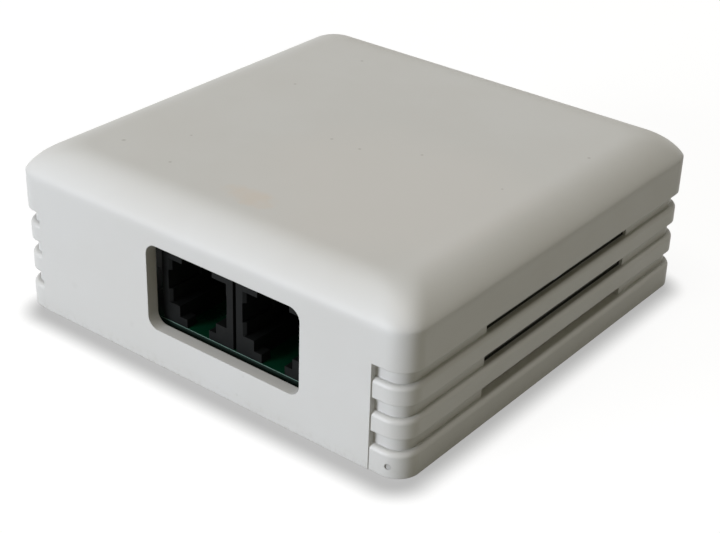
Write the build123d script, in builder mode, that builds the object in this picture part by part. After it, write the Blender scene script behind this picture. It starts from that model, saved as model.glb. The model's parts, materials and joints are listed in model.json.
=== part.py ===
from build123d import *
from math import asin, cos, sin
import os

# Louvred indoor temperature sensor, standing on its base. Millimetres, +Z up.
# The origin is the middle of the underside. The sockets face -Y, the louvres face -X and +X.

# Case
case_side = 71.0
case_height = 25.5
case_wall = 1.9
corner_radius = 3.5
shoulder_radius = 7.3
shoulder_run = 6.4
shoulder_steps = 8
inner_shoulder_steps = 3

# Louvres on the two side walls
louvre_count = 3
louvre_pitch = 5.0
groove_height = 2.2
lowest_groove = 3.8
groove_depth = 1.0
rib_recess = 0.2
foot_recess = 0.1
rib_round = 0.7
left_return = 4.4
right_return = 5.6
slot_length = 36.0
slot_shift = 1.0

# Base
base_floor = 2.0
base_clearance = 0.15
base_rim = 1.5
base_rim_height = 6.7
front_rim_height = 4.0
front_rim_gap = 1.0
boss_height = 2.4
boss_radius = 2.8
wall_slot_spacing = 40.0
wall_slot_y = 22.5
wall_slot_length = 8.0
wall_slot_width = 4.2
wall_slot_seat = 1.6
wall_slot_sink = 0.8

# Pegs of the cover and their sockets in the base
post_inset = 4.6
post_radius = 3.2
peg_radius = 1.5
peg_clearance = 0.05
peg_length = 5.0
peg_chamfer = 0.4
peg_end_gap = 1.0
socket_top = 12.0

# Circuit board and its screws
board_side_gap = 0.8
board_length = 46.0
board_thickness = 1.6
board_corner_radius = 1.0
board_hole_radius = 1.3
screw_inset = 4.2
screw_radius = 1.1
screw_clearance = 0.05
screw_length = 4.6
screw_end_gap = 0.4
screw_head_radius = 2.2
screw_head_height = 1.4
drive_width = 0.6
drive_length = 2.6
drive_depth = 0.7

# Modular jacks, six positions, tab down
jack_screw_gap = 0.625
jack_setback = 0.85
jack_width = 13.2
jack_gap = 0.55
jack_height = 12.0
jack_depth = 16.0
port_width = 10.0
port_floor = 3.0
port_ceiling = 9.95
port_chamfer = 0.4
relief_depth = 0.45
relief_bottom = 5.1
relief_top = 8.1
relief_length = 6.0
latch_width = 6.8
latch_stop_width = 4.1
latch_stop_height = 1.35
latch_stop_depth = 1.8
lip_depth = 1.5
roof_thickness = 1.3
contact_notch_width = 5.6
contact_notch_roof = 0.8
locating_peg_radius = 1.5
locating_peg_length = 3.0
locating_peg_inset = 1.52
locating_peg_y = 7.5
locating_peg_clearance = 0.1

# Contact wires and their carrier
wire_count = 4
wire_pitch = 1.02
wire_width = 0.45
wire_thickness = 0.3
wire_bend = 0.5
tail_length = 2.8
tail_stagger = 2.54
tail_jog_height = 0.9
tail_hole_radius = 0.5
carrier_back = 14.9
carrier_length = 2.6
carrier_clearance = 0.1
tongue_thickness = 0.5
tongue_gap = 0.6
spring_bend = 0.6
spring_length = 8.0
spring_angle = 17.0
spring_gap = 0.05
bend_inset = 1.1

# Window in the front wall, over the pair of jacks
window_margin = 0.27
window_drop = 0.3
window_height = 13.3
window_radius = 1.8

# Ribs inside the cover that hold the jacks down
hold_rib_width = 1.2
hold_rib_length = 10.0
hold_rib_gap = 0.3

# Small round mark low on the front corner
mark_radius = 0.4
mark_depth = 0.22
mark_inset = 2.65
mark_height = 1.65

# Sensing element on its own tongue of the board, beside the louvres
sensor_inset = 4.0
sensor_setback = 19.25
sensor_radius = 2.4
sensor_flat = 1.3
sensor_height = 4.7
sensor_lift = 5.6
lead_size = 0.45
lead_pitch = 1.27
lead_tail = 1.4
lead_hole_radius = 0.4
heat_slot_width = 1.0
heat_slot_reach = 4.6
heat_slot_bridge = 1.5

# Interface chip
chip_diode_gap = 3.05
chip_setback = 10.25
chip_length = 4.9
chip_width = 3.9
chip_height = 1.45
chip_standoff = 0.1
chip_lead_count = 4
chip_lead_pitch = 1.27
chip_lead_width = 0.4
chip_lead_thickness = 0.2
chip_lead_shoulder = 0.4
chip_lead_foot = 0.65

# Capacitors and resistors, in two rows
chip_part_length = 2.0
chip_part_width = 1.25
chip_part_pitch = 3.6
chip_row_inset = 9.5
capacitor_height = 0.95
capacitor_count = 3
capacitor_row_setback = 16.75
resistor_height = 0.5
resistor_count = 4
resistor_row_setback = 4.25
end_cap = 0.4
end_cap_skin = 0.03

# Surge diodes, one for each jack
diode_setback = 9.25
diode_pitch = 10.0
diode_length = 4.2
diode_width = 2.6
diode_height = 1.9
diode_standoff = 0.25
diode_lead_width = 1.4
diode_lead_thickness = 0.2
diode_lead_level = 0.95
diode_lead_reach = 0.25
diode_lead_foot = 1.0

# Overshoot of cuts, and tolerance of comparisons
cut_margin = 1.0
tolerance = 0.001

# Derived places
half_side = case_side / 2
inner_half = half_side - case_wall
base_half = inner_half - base_clearance
base_corner_radius = corner_radius - case_wall - base_clearance
post_offset = inner_half - post_inset
board_bottom = base_floor + boss_height
board_top = board_bottom + board_thickness
board_width = 2 * (post_offset - post_radius - board_side_gap)
jack_front = jack_setback - inner_half
board_back = jack_front + board_length
jack_pitch = jack_width + jack_gap
jack_right = board_width / 2 - screw_inset - screw_head_radius - jack_screw_gap
jack_x = jack_right - (jack_pitch + jack_width) / 2
jack_centres = {"left": jack_x - jack_pitch / 2, "right": jack_x + jack_pitch / 2}
window_width = jack_pitch + jack_width + 2 * window_margin
window_bottom = board_top - window_drop
locating_peg_spacing = jack_width - 2 * locating_peg_inset
groove_floors = [lowest_groove + louvre_pitch * step for step in range(louvre_count)]
rib_recesses = [foot_recess] + [rib_recess] * (louvre_count - 1)
louvre_top = groove_floors[-1] + groove_height
board_centre_y = jack_front + board_length / 2
screw_spots = [
    (side * (board_width / 2 - screw_inset), board_centre_y + end * (board_length / 2 - screw_inset))
    for side in (-1, 1)
    for end in (-1, 1)
]
wire_offsets = [(step - (wire_count - 1) / 2) * wire_pitch for step in range(wire_count)]
wire_level = jack_height - roof_thickness - wire_thickness / 2
bend_y = lip_depth + bend_inset
bend_z = wire_level - spring_bend - spring_gap
tail_rows = [carrier_back + wire_thickness / 2 - step * tail_stagger for step in (0, 1)]
sensor_x = board_width / 2 - sensor_inset
sensor_y = board_back - sensor_setback
diode_reach = diode_length / 2 + diode_lead_reach + diode_lead_thickness / 2
chip_reach = chip_width / 2 + chip_lead_shoulder + chip_lead_foot
chip_x = jack_x - diode_pitch / 2 - diode_reach - chip_diode_gap - chip_reach
chip_y = board_back - chip_setback
chip_row_x = chip_row_inset - board_width / 2

os.makedirs("parts", exist_ok=True)


def finish(builder, name):
    builder.part.label = name
    export_step(builder.part, f"parts/{name}.step")


def shell_form(inset, bottom, steps, ruled=False):
    """Square form with rounded corners and a curved shoulder, set in from the outside faces."""
    side = case_side - 2 * inset
    radius = corner_radius - inset
    arc_radius = shoulder_radius - inset
    run = shoulder_run - inset
    centre_z = case_height - shoulder_radius
    crease_angle = asin(run / arc_radius)
    crease_z = centre_z + arc_radius * cos(crease_angle)
    with BuildPart() as walls:
        with BuildSketch(Plane.XY.offset(bottom)):
            RectangleRounded(side, side, radius)
        extrude(amount=crease_z - bottom)
    with BuildPart() as shoulder:
        for step in range(steps + 1):
            angle = crease_angle * (1 - step / steps)
            side_here = side - 2 * (run - arc_radius * sin(angle))
            with BuildSketch(Plane.XY.offset(centre_z + arc_radius * cos(angle))):
                RectangleRounded(side_here, side_here, radius)
        loft(ruled=ruled)
    return walls.part + shoulder.part


def louvre_band(depth, bottom, height):
    """Ring cut into both side walls, round the corners and square-ended on the front and back."""
    core_side = case_side - 2 * depth
    with BuildPart() as band:
        with BuildSketch(Plane.XY.offset(bottom)):
            Rectangle(case_side + 2 * cut_margin, case_side + 2 * cut_margin)
            RectangleRounded(core_side, core_side, corner_radius - depth, mode=Mode.SUBTRACT)
            with Locations(((left_return - right_return) / 2, 0)):
                plain_width = case_side - left_return - right_return
                Rectangle(plain_width, case_side + 4 * cut_margin, mode=Mode.SUBTRACT)
        extrude(amount=height)
    return band.part


def is_rib_edge(edge):
    """True for the outer upper edges of the louvre ribs."""
    box = edge.bounding_box()
    reach = max(abs(edge.center().X), abs(edge.center().Y))
    found = False
    for floor, recess in zip(groove_floors, rib_recesses):
        level = box.size.Z < tolerance and abs(box.min.Z - floor) < tolerance
        straight = abs(reach - half_side + recess) < tolerance
        corner_edge = edge.geom_type == GeomType.CIRCLE
        corner = corner_edge and abs(edge.radius - corner_radius + recess) < tolerance
        found = found or (level and (straight or corner))
    return found


def front_plane(x, depth=0.0):
    """Upright plane in a jack, seen from the front: its x runs right and its y runs up."""
    return Plane(origin=(x, jack_front + depth, board_top), x_dir=(1, 0, 0), z_dir=(0, -1, 0))


def side_plane(x):
    """Upright plane through x: its x runs inwards from the jack's front and its y runs up."""
    return Plane(origin=(x, jack_front, board_top), x_dir=(0, 1, 0), z_dir=(1, 0, 0))


# Cover: thin shell with louvres, socket window, pegs and hold-down ribs
outer_form = shell_form(0, 0, shoulder_steps)
inner_form = shell_form(case_wall, -cut_margin, inner_shoulder_steps, ruled=True)
middle_form = shell_form(case_wall / 2, 0, inner_shoulder_steps, ruled=True)
foot_band = louvre_band(foot_recess, -cut_margin, lowest_groove + cut_margin)
recess_band = louvre_band(rib_recess, lowest_groove, louvre_top - lowest_groove)
groove_bands = [louvre_band(groove_depth, floor, groove_height) for floor in groove_floors]
hold_rib_bottom = board_top + jack_height + hold_rib_gap
with BuildPart() as posts_and_ribs:
    with BuildSketch(Plane.XY.offset(socket_top)):
        with GridLocations(2 * post_offset, 2 * post_offset, 2, 2):
            Circle(post_radius)
    extrude(amount=case_height - socket_top)
    with BuildSketch(Plane.XY.offset(hold_rib_bottom)):
        for centre in jack_centres.values():
            with Locations((centre, jack_front + lip_depth + hold_rib_length / 2)):
                Rectangle(hold_rib_width, hold_rib_length)
    extrude(amount=case_height - hold_rib_bottom)
    add(middle_form, mode=Mode.INTERSECT)
with BuildPart() as cover:
    add(outer_form)
    add(inner_form, mode=Mode.SUBTRACT)
    add(posts_and_ribs.part)
    for band in [foot_band, recess_band] + groove_bands:
        add(band, mode=Mode.SUBTRACT)
    fillet(cover.edges().filter_by(is_rib_edge), radius=rib_round)
    for floor in groove_floors:
        with BuildSketch(Plane.XY.offset(floor)):
            with Locations((0, slot_shift)):
                with GridLocations(2 * half_side - case_wall, 0, 2, 1):
                    Rectangle(case_wall + cut_margin, slot_length)
        extrude(amount=groove_height, mode=Mode.SUBTRACT)
    with BuildSketch(Plane(origin=(jack_x, -half_side, 0), x_dir=(1, 0, 0), z_dir=(0, -1, 0))):
        with Locations((0, window_bottom + window_height / 2)):
            RectangleRounded(window_width, window_height, window_radius)
    extrude(amount=-(case_wall + cut_margin), mode=Mode.SUBTRACT)
    with BuildSketch(Plane(origin=(half_side - mark_inset, -half_side, mark_height), z_dir=(0, -1, 0))):
        Circle(mark_radius)
    extrude(amount=-(foot_recess + mark_depth), mode=Mode.SUBTRACT)
    with BuildSketch(Plane.XY.offset(socket_top)):
        with GridLocations(2 * post_offset, 2 * post_offset, 2, 2):
            Circle(peg_radius)
    extrude(amount=-peg_length)
    peg_tip = socket_top - peg_length
    chamfer(cover.edges().filter_by(GeomType.CIRCLE).filter_by_position(Axis.Z, peg_tip, peg_tip), peg_chamfer)
finish(cover, "cover")

# Base: tray with a low rim, board bosses, sockets for the pegs and two wall-screw slots
with BuildPart() as base:
    with BuildSketch(Plane.XY):
        RectangleRounded(2 * base_half, 2 * base_half, base_corner_radius)
    extrude(amount=base_floor)
    with BuildSketch(Plane.XY.offset(base_floor)):
        RectangleRounded(2 * base_half, 2 * base_half, base_corner_radius)
        Rectangle(2 * (base_half - base_rim), 2 * (base_half - base_rim), mode=Mode.SUBTRACT)
    extrude(amount=base_rim_height - base_floor)
    with BuildSketch(Plane.XY.offset(front_rim_height)):
        with Locations((0, base_rim / 2 - base_half)):
            Rectangle(board_width + 2 * front_rim_gap, base_rim + cut_margin)
    extrude(amount=base_rim_height - front_rim_height, mode=Mode.SUBTRACT)
    with BuildSketch(Plane.XY.offset(base_floor)):
        with GridLocations(2 * post_offset, 2 * post_offset, 2, 2):
            Circle(post_radius)
    extrude(amount=socket_top - base_floor)
    with BuildSketch(Plane.XY.offset(base_floor)):
        with Locations(*screw_spots):
            Circle(boss_radius)
    extrude(amount=boss_height)
    with BuildSketch(Plane.XY.offset(socket_top)):
        with GridLocations(2 * post_offset, 2 * post_offset, 2, 2):
            Circle(peg_radius + peg_clearance)
    extrude(amount=-(peg_length + peg_end_gap), mode=Mode.SUBTRACT)
    with BuildSketch(Plane.XY.offset(board_bottom)):
        with Locations(*screw_spots):
            Circle(screw_radius + screw_clearance)
    extrude(amount=-(screw_length - board_thickness + screw_end_gap), mode=Mode.SUBTRACT)
    with BuildSketch(Plane.XY):
        with Locations((0, wall_slot_y)):
            with GridLocations(wall_slot_spacing, 0, 2, 1):
                SlotOverall(wall_slot_length, wall_slot_width)
    extrude(amount=base_floor, mode=Mode.SUBTRACT)
    with BuildSketch(Plane.XY.offset(base_floor)):
        with Locations((0, wall_slot_y)):
            with GridLocations(wall_slot_spacing, 0, 2, 1):
                SlotOverall(wall_slot_length + 2 * wall_slot_seat, wall_slot_width + 2 * wall_slot_seat)
    extrude(amount=-wall_slot_sink, mode=Mode.SUBTRACT)
finish(base, "base")

# Circuit board: outline, fixing holes, jack and lead holes, heat-break slots round the sensor
heat_slot_x = sensor_x - heat_slot_reach
cross_slot_start = heat_slot_x + heat_slot_bridge
cross_slot_length = board_width / 2 + cut_margin - cross_slot_start
with BuildPart() as circuit_board:
    with BuildSketch(Plane.XY.offset(board_bottom)):
        with Locations((0, board_centre_y)):
            RectangleRounded(board_width, board_length, board_corner_radius)
        with Locations(*screw_spots):
            Circle(board_hole_radius, mode=Mode.SUBTRACT)
        for centre in jack_centres.values():
            with Locations((centre, jack_front + locating_peg_y)):
                with GridLocations(locating_peg_spacing, 0, 2, 1):
                    Circle(locating_peg_radius + locating_peg_clearance, mode=Mode.SUBTRACT)
            for number, offset in enumerate(wire_offsets):
                with Locations((centre + offset, jack_front + tail_rows[number % 2])):
                    Circle(tail_hole_radius, mode=Mode.SUBTRACT)
        with Locations((sensor_x, sensor_y)):
            with GridLocations(0, lead_pitch, 1, 3):
                Circle(lead_hole_radius, mode=Mode.SUBTRACT)
        with Locations((heat_slot_x, sensor_y)):
            Rectangle(heat_slot_width, 2 * (heat_slot_reach - heat_slot_bridge), mode=Mode.SUBTRACT)
        with Locations((cross_slot_start + cross_slot_length / 2, sensor_y)):
            with GridLocations(0, 2 * heat_slot_reach, 1, 2):
                Rectangle(cross_slot_length, heat_slot_width, mode=Mode.SUBTRACT)
    extrude(amount=board_thickness)
finish(circuit_board, "circuit_board")

# Screws that hold the board on its bosses
with BuildPart() as board_screws:
    with BuildSketch(Plane.XY.offset(board_top)):
        with Locations(*screw_spots):
            Circle(screw_head_radius)
    extrude(amount=screw_head_height)
    with BuildSketch(Plane.XY.offset(board_top)):
        with Locations(*screw_spots):
            Circle(screw_radius)
    extrude(amount=-screw_length)
    with BuildSketch(Plane.XY.offset(board_top + screw_head_height)):
        with Locations(*screw_spots):
            Rectangle(drive_length, drive_width)
            Rectangle(drive_width, drive_length)
    extrude(amount=-drive_depth, mode=Mode.SUBTRACT)
finish(board_screws, "board_screws")


def jack_housing(centre):
    """Moulded jack body: port with a contact notch, latch channel, open rear, two locating pegs."""
    port_height = port_ceiling - port_floor
    cavity_height = jack_height - roof_thickness - port_floor
    with BuildPart() as housing:
        with BuildSketch(front_plane(centre)):
            with Locations((0, jack_height / 2)):
                Rectangle(jack_width, jack_height)
        extrude(amount=-jack_depth)
        with BuildSketch(front_plane(centre)):
            with Locations((0, port_floor + port_height / 2)):
                Rectangle(port_width, port_height)
        extrude(amount=-lip_depth, mode=Mode.SUBTRACT)
        lip_edges = housing.edges().filter_by_position(Axis.Y, jack_front, jack_front)
        port_sides = lip_edges.filter_by(Axis.Z).sort_by(Axis.X)[1:-1]
        chamfer(port_sides, length=port_chamfer)
        notch_height = jack_height - contact_notch_roof - port_ceiling
        with BuildSketch(front_plane(centre)):
            with Locations((0, port_ceiling + notch_height / 2)):
                Rectangle(contact_notch_width, notch_height)
        extrude(amount=-lip_depth, mode=Mode.SUBTRACT)
        with BuildSketch(front_plane(centre)):
            with Locations((0, (relief_bottom + relief_top) / 2)):
                Rectangle(port_width + 2 * relief_depth, relief_top - relief_bottom)
        extrude(amount=-relief_length, mode=Mode.SUBTRACT)
        with BuildSketch(front_plane(centre, lip_depth)):
            with Locations((0, port_floor + cavity_height / 2)):
                Rectangle(port_width, cavity_height)
        extrude(amount=lip_depth - jack_depth, mode=Mode.SUBTRACT)
        with BuildSketch(front_plane(centre)):
            with Locations((0, (latch_stop_height + port_floor) / 2)):
                Rectangle(latch_width, port_floor - latch_stop_height)
            with Locations((0, latch_stop_height / 2)):
                Rectangle(latch_stop_width, latch_stop_height)
        extrude(amount=-latch_stop_depth, mode=Mode.SUBTRACT)
        with BuildSketch(front_plane(centre, latch_stop_depth)):
            with Locations((0, port_floor / 2)):
                Rectangle(latch_width, port_floor)
        extrude(amount=latch_stop_depth - jack_depth, mode=Mode.SUBTRACT)
        with BuildSketch(Plane.XY.offset(board_top)):
            with Locations((centre, jack_front + locating_peg_y)):
                with GridLocations(locating_peg_spacing, 0, 2, 1):
                    Circle(locating_peg_radius)
        extrude(amount=-locating_peg_length)
    return housing


def contact_carrier(centre):
    """Insert that closes the jack's rear, with a tongue under the roof that the wires lie on."""
    top = wire_level - wire_thickness / 2
    tongue_front = bend_y + tongue_gap
    block_front = carrier_back - carrier_length
    with BuildPart() as carrier:
        with BuildSketch(side_plane(centre)) as outline:
            with BuildLine():
                Polyline(
                    (tongue_front, top),
                    (tongue_front, top - tongue_thickness),
                    (block_front, top - tongue_thickness),
                    (block_front, port_floor),
                    (carrier_back, port_floor),
                    (carrier_back, top),
                    close=True,
                )
            make_face()
            rear_corner = outline.vertices().filter_by_position(Axis.X, carrier_back, carrier_back)
            fillet(rear_corner.sort_by(Axis.Y)[-1], radius=wire_bend - wire_thickness / 2)
        extrude(amount=port_width / 2 - carrier_clearance, both=True)
    return carrier


def fixed_wires(centre):
    """Wires from the tongue's front, over the carrier and down to the board, in two tail rows."""
    with BuildPart() as wires:
        for number, offset in enumerate(wire_offsets):
            route = [(bend_y + spring_gap, wire_level), (tail_rows[0], wire_level)]
            if number % 2:
                route += [(tail_rows[0], tail_jog_height), (tail_rows[1], tail_jog_height)]
            route += [(tail_rows[number % 2], -tail_length)]
            with BuildSketch(side_plane(centre + offset)):
                with BuildLine():
                    FilletPolyline(*route, radius=wire_bend)
                trace(line_width=wire_thickness)
            extrude(amount=wire_width / 2, both=True)
    return wires


def contact_springs(centre):
    """Sprung ends of the wires: each turns back at the front and slopes down into the port."""
    with BuildPart() as springs:
        for offset in wire_offsets:
            with BuildSketch(side_plane(centre + offset)):
                with BuildLine():
                    turn = CenterArc((bend_y, bend_z), spring_bend, 90, 180 - spring_angle)
                    PolarLine(turn @ 1, spring_length, -spring_angle)
                trace(line_width=wire_thickness)
            extrude(amount=wire_width / 2, both=True)
    return springs


# The two jacks, each with its housing, carrier, fixed wires and sprung contacts
for hand, centre in jack_centres.items():
    finish(jack_housing(centre), f"{hand}_jack_housing")
    finish(contact_carrier(centre), f"{hand}_contact_carrier")
    finish(fixed_wires(centre), f"{hand}_contact_wires")
    finish(contact_springs(centre), f"{hand}_contact_springs")

# Sensing element: flatted round body on three straight leads
with BuildPart() as sensor_body:
    with BuildSketch(Plane.XY.offset(board_top + sensor_lift)):
        with Locations((sensor_x, sensor_y)):
            Circle(sensor_radius)
        with Locations((sensor_x + sensor_flat + sensor_radius, sensor_y)):
            Rectangle(2 * sensor_radius, 2 * sensor_radius, mode=Mode.SUBTRACT)
    extrude(amount=sensor_height)
finish(sensor_body, "sensor_body")

with BuildPart() as sensor_leads:
    with BuildSketch(Plane.XY.offset(board_bottom - lead_tail)):
        with Locations((sensor_x, sensor_y)):
            with GridLocations(0, lead_pitch, 1, 3):
                Rectangle(lead_size, lead_size)
    extrude(amount=lead_tail + board_thickness + sensor_lift)
finish(sensor_leads, "sensor_leads")

# Interface chip: moulded body and two rows of bent leads
with BuildPart() as bus_chip:
    with BuildSketch(Plane.XY.offset(board_top + chip_standoff)):
        with Locations((chip_x, chip_y)):
            Rectangle(chip_width, chip_length)
    extrude(amount=chip_height)
finish(bus_chip, "bus_chip")

with BuildPart() as bus_chip_leads:
    lead_start = chip_width / 2
    lead_turn = lead_start + chip_lead_shoulder
    lead_top = chip_standoff + chip_height / 2
    lead_low = chip_lead_thickness / 2
    for number in range(chip_lead_count):
        lead_y = chip_y + (number - (chip_lead_count - 1) / 2) * chip_lead_pitch
        for side in (-1, 1):
            with BuildSketch(Plane(origin=(chip_x, lead_y, board_top), x_dir=(side, 0, 0), z_dir=(0, -side, 0))):
                with BuildLine():
                    Polyline(
                        (lead_start, lead_top),
                        (lead_turn, lead_top),
                        (lead_turn, lead_low),
                        (lead_turn + chip_lead_foot, lead_low),
                    )
                trace(line_width=chip_lead_thickness)
            extrude(amount=chip_lead_width / 2, both=True)
finish(bus_chip_leads, "bus_chip_leads")


def chip_row(count, setback):
    """Places of a row of small two-terminal parts, set back from the board's rear edge."""
    return [(chip_row_x + chip_part_pitch * number, board_back - setback) for number in range(count)]


def chip_bodies(spots, height):
    """Ceramic bodies of a row of two-terminal parts, between their end caps."""
    with BuildPart() as bodies:
        with BuildSketch(Plane.XY.offset(board_top + end_cap_skin)):
            with Locations(*spots):
                Rectangle(chip_part_length - 2 * end_cap, chip_part_width - 2 * end_cap_skin)
        extrude(amount=height - 2 * end_cap_skin)
    return bodies


def chip_ends(spots, height):
    """Metal end caps of a row of two-terminal parts."""
    with BuildPart() as ends:
        with BuildSketch(Plane.XY.offset(board_top)):
            with Locations(*spots):
                with GridLocations(chip_part_length - end_cap, 0, 2, 1):
                    Rectangle(end_cap, chip_part_width)
        extrude(amount=height)
    return ends


capacitor_spots = chip_row(capacitor_count, capacitor_row_setback)
resistor_spots = chip_row(resistor_count, resistor_row_setback)
finish(chip_bodies(capacitor_spots, capacitor_height), "capacitors")
finish(chip_ends(capacitor_spots, capacitor_height), "capacitor_ends")
finish(chip_bodies(resistor_spots, resistor_height), "resistors")
finish(chip_ends(resistor_spots, resistor_height), "resistor_ends")

# Surge diodes: moulded bodies with leads folded under them
diode_spots = [(jack_x + side * diode_pitch / 2, board_back - diode_setback) for side in (-1, 1)]
with BuildPart() as surge_diodes:
    with BuildSketch(Plane.XY.offset(board_top + diode_standoff)):
        with Locations(*diode_spots):
            Rectangle(diode_length, diode_width)
    extrude(amount=diode_height)
finish(surge_diodes, "surge_diodes")

with BuildPart() as surge_diode_leads:
    fold_x = diode_length / 2 + diode_lead_reach
    for spot_x, spot_y in diode_spots:
        for side in (-1, 1):
            with BuildSketch(Plane(origin=(spot_x, spot_y, board_top), x_dir=(side, 0, 0), z_dir=(0, -side, 0))):
                with BuildLine():
                    Polyline(
                        (diode_length / 2, diode_lead_level),
                        (fold_x, diode_lead_level),
                        (fold_x, diode_lead_thickness / 2),
                        (fold_x - diode_lead_foot, diode_lead_thickness / 2),
                    )
                trace(line_width=diode_lead_thickness)
            extrude(amount=diode_lead_width / 2, both=True)
finish(surge_diode_leads, "surge_diode_leads")
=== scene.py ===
import json
import math

import bmesh
import bpy
from mathutils import Matrix, Vector


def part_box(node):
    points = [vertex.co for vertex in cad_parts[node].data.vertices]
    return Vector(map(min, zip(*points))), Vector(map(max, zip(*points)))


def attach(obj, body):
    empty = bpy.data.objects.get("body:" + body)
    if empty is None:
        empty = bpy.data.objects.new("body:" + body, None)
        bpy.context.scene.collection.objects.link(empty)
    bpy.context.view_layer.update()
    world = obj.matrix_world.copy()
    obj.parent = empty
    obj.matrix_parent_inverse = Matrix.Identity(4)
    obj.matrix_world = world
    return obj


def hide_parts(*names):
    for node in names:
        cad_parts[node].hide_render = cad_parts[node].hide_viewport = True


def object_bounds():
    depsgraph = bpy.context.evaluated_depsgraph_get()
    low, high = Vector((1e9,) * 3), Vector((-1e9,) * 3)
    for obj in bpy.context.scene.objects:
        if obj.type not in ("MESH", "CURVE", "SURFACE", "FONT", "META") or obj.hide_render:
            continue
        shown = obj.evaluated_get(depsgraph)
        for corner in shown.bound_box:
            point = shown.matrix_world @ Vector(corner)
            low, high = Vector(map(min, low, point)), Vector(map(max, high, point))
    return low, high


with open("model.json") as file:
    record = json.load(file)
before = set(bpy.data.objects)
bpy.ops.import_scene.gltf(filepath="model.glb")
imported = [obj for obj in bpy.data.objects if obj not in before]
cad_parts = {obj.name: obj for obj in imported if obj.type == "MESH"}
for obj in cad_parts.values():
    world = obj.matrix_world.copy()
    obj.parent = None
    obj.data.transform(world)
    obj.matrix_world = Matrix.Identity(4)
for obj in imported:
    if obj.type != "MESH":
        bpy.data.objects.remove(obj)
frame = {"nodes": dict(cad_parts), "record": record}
cadBox = [Vector(corner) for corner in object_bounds()]
nodes = frame["nodes"]
mm = 0.001  # one millimetre, in the frame's metres
coverLow, coverHigh = [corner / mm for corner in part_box("cover")]
boardLow, boardHigh = [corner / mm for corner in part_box("circuit_board")]
boardTop = boardHigh.z
print("frame loaded:", len(nodes), "pieces")


class Flow:
    # A number, colour or vector on its way through a finish. Sums, products and so on add Math nodes.
    def __init__(self, finish, socket):
        self.finish = finish
        self.socket = socket

    def maths(self, operation, first, second=0.0):
        return self.finish.add("ShaderNodeMath", {"operation": operation}, {0: first, 1: second})

    def __add__(self, other):
        return self.maths("ADD", self, other)

    def __radd__(self, other):
        return self.maths("ADD", other, self)

    def __sub__(self, other):
        return self.maths("SUBTRACT", self, other)

    def __rsub__(self, other):
        return self.maths("SUBTRACT", other, self)

    def __mul__(self, other):
        return self.maths("MULTIPLY", self, other)

    def __rmul__(self, other):
        return self.maths("MULTIPLY", other, self)

    def __truediv__(self, other):
        return self.maths("DIVIDE", self, other)

    def __rtruediv__(self, other):
        return self.maths("DIVIDE", other, self)

    def __pow__(self, other):
        return self.maths("POWER", self, other)

    def __rpow__(self, other):
        return self.maths("POWER", other, self)

    def __abs__(self):
        return self.maths("ABSOLUTE", self)

    def larger(self, other):
        return self.maths("MAXIMUM", self, other)


def opaque(colour):  # a plain colour gets full alpha, as colour sockets want it
    return colour if isinstance(colour, Flow) else (*colour, 1.0)


def grey(level):
    return (level, level, level)


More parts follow.
